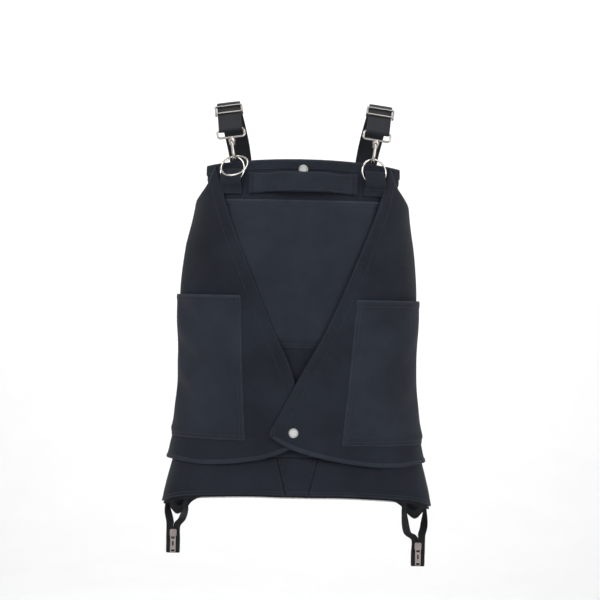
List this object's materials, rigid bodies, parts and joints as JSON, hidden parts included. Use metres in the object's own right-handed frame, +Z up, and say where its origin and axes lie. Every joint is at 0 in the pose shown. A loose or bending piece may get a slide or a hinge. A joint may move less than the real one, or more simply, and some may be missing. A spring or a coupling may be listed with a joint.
{
  "type": "harness vest",
  "caption": "Canvas bib vest on webbing shoulder straps with swivel hooks, crossed wrap flaps that snap shut, patch pockets, a carry handle and hem zips.",
  "frame": {"origin": "midway between the crests of the two shoulder straps, at the level where they rest on the shoulders", "axes": "+Z up along the vest, the front faces -Y, +X is to the right of someone looking at the front"},
  "size_m": [0.441, 0.2699, 0.7584],
  "materials": {
    "canvas": "matt plain weave",
    "pocket_canvas": "matt plain weave",
    "binding": "ribbed tape",
    "webbing": "heavy ribbed webbing",
    "zip_tape": "herringbone tape",
    "zip_metal": "pewter",
    "snap_metal": "satin nickel",
    "bright_nickel": "bright nickel",
    "dark_nickel": "black nickel"
  },
  "bodies": {
    "vest": {"bib_panel": "canvas", "side_panel_right": "canvas", "side_panel_left": "canvas", "skirt_side_right": "canvas", "skirt_side_left": "canvas", "skirt_centre_panel": "canvas", "back_panel": "canvas", "front_hem_band": "canvas", "back_hem_band": "canvas", "chest_pocket": "pocket_canvas", "carry_handle": "pocket_canvas", "top_snap_cap": "snap_metal", "top_snap_stud": "snap_metal", "ring_tab_right": "canvas", "ring_tab_left": "canvas", "strap_right": "webbing", "strap_left": "webbing", "strap_back_tab_right": "webbing", "strap_back_tab_left": "webbing", "zip_tape_front": "zip_tape", "zip_tape_back": "zip_tape", "zip_tail_right": "zip_tape", "zip_tail_left": "zip_tape", "zip_end_box_right": "zip_tape", "zip_end_box_left": "zip_tape"},
    "flap_right": {"flap_right": "canvas", "flap_binding_right": "binding", "flap_pocket_right": "pocket_canvas", "flap_snap_cap": "snap_metal"},
    "flap_left": {"flap_left": "canvas", "flap_binding_left": "binding", "flap_pocket_left": "pocket_canvas", "flap_snap_stud": "snap_metal"},
    "adjuster_right": {"adjuster_right": "bright_nickel", "strap_end_right": "webbing"},
    "swivel_eye_right": {"swivel_eye_right": "dark_nickel"},
    "hook_right": {"hook_body_right": "dark_nickel", "lever_pin_right": "dark_nickel", "lever_spring_right": "dark_nickel"},
    "hook_lever_right": {"hook_lever_right": "dark_nickel"},
    "tab_ring_right": {"tab_ring_right": "bright_nickel"},
    "zip_slider_right": {"zip_slider_right": "zip_metal"},
    "zip_pull_right": {"zip_pull_right": "zip_metal"},
    "adjuster_left": {"adjuster_left": "bright_nickel", "strap_end_left": "webbing"},
    "swivel_eye_left": {"swivel_eye_left": "dark_nickel"},
    "hook_left": {"hook_body_left": "dark_nickel", "lever_pin_left": "dark_nickel", "lever_spring_left": "dark_nickel"},
    "hook_lever_left": {"hook_lever_left": "dark_nickel"},
    "tab_ring_left": {"tab_ring_left": "bright_nickel"},
    "zip_slider_left": {"zip_slider_left": "zip_metal"},
    "zip_pull_left": {"zip_pull_left": "zip_metal"},
    "loose_ring": {"loose_ring": "bright_nickel"}
  },
  "joints": [
    {"name": "flap_right_fold", "type": "hinge", "parent": "vest", "child": "flap_right", "pos_m": [0.2107, -0.0015, -0.577], "axis": [-0.0723, 0, 0.9974], "range_deg": [0, 100]},
    {"name": "flap_left_fold", "type": "hinge", "parent": "vest", "child": "flap_left", "pos_m": [-0.2107, -0.0015, -0.577], "axis": [-0.0723, 0, -0.9974], "range_deg": [0, 75]},
    {"name": "adjuster_right_slide", "type": "slide", "parent": "vest", "child": "adjuster_right", "axis": [0.0895, 0.766, 0.6365], "range_m": [-0.012, 0]},
    {"name": "eye_right_swing", "type": "hinge", "parent": "vest", "child": "swivel_eye_right", "pos_m": [0.11868, -0.08672, -0.04753], "axis": [0.9903, 0, -0.1392], "range_deg": [-1, 1]},
    {"name": "hook_right_swivel", "type": "hinge", "parent": "swivel_eye_right", "child": "hook_right", "pos_m": [0.11315, -0.08672, -0.08694], "axis": [0.1392, 0, 0.9903], "range_deg": [-8, 16]},
    {"name": "hook_right_lever", "type": "hinge", "parent": "hook_right", "child": "hook_lever_right", "pos_m": [0.11557, -0.07852, -0.06971], "axis": [-0.9903, 0, 0.1392], "range_deg": [0, 24], "stiffness_Nm_per_rad": 0.02},
    {"name": "tab_ring_right_tilt", "type": "hinge", "parent": "vest", "child": "tab_ring_right", "pos_m": [0.11406, -0.09061, -0.11097], "axis": [0.9359, 0.3522, 0], "range_deg": [-2.5, 2.5]},
    {"name": "zip_slider_right_slide", "type": "slide", "parent": "vest", "child": "zip_slider_right", "axis": [0, 0, 1], "range_m": [0, 0.008]},
    {"name": "zip_pull_right_swing", "type": "hinge", "parent": "zip_slider_right", "child": "zip_pull_right", "pos_m": [0.2005, -0.0487, -0.719], "axis": [1, 0, 0], "range_deg": [-150, 0]},
    {"name": "adjuster_left_slide", "type": "slide", "parent": "vest", "child": "adjuster_left", "axis": [-0.0895, 0.766, 0.6365], "range_m": [-0.012, 0]},
    {"name": "eye_left_swing", "type": "hinge", "parent": "vest", "child": "swivel_eye_left", "pos_m": [-0.11868, -0.08867, -0.04753], "axis": [0.9903, 0, 0.1392], "range_deg": [-0.3, 1]},
    {"name": "hook_left_swivel", "type": "hinge", "parent": "swivel_eye_left", "child": "hook_left", "pos_m": [-0.11315, -0.08867, -0.08694], "axis": [-0.1392, 0, 0.9903], "range_deg": [-12, 7]},
    {"name": "hook_left_lever", "type": "hinge", "parent": "hook_left", "child": "hook_lever_left", "pos_m": [-0.11557, -0.08047, -0.06971], "axis": [-0.9903, 0, -0.1392], "range_deg": [0, 24], "stiffness_Nm_per_rad": 0.02},
    {"name": "tab_ring_left_tilt", "type": "hinge", "parent": "vest", "child": "tab_ring_left", "pos_m": [-0.11406, -0.09061, -0.11097], "axis": [0.9359, -0.3522, 0], "range_deg": [-0.8, 0]},
    {"name": "zip_slider_left_slide", "type": "slide", "parent": "vest", "child": "zip_slider_left", "axis": [0, 0, 1], "range_m": [0, 0.008]},
    {"name": "zip_pull_left_swing", "type": "hinge", "parent": "zip_slider_left", "child": "zip_pull_left", "pos_m": [-0.2005, -0.0487, -0.705], "axis": [1, 0, 0], "range_deg": [-150, 0]},
    {"name": "loose_ring_swing", "type": "hinge", "parent": "vest", "child": "loose_ring", "pos_m": [-0.11259, -0.09062, -0.0909], "axis": [0.9602, -0.1331, 0.2457], "range_deg": [-20, 20]}
  ],
  "couplings": [
    {"joint": "flap_left_fold", "follows": "flap_right_fold", "ratio": 0.75}
  ]
}
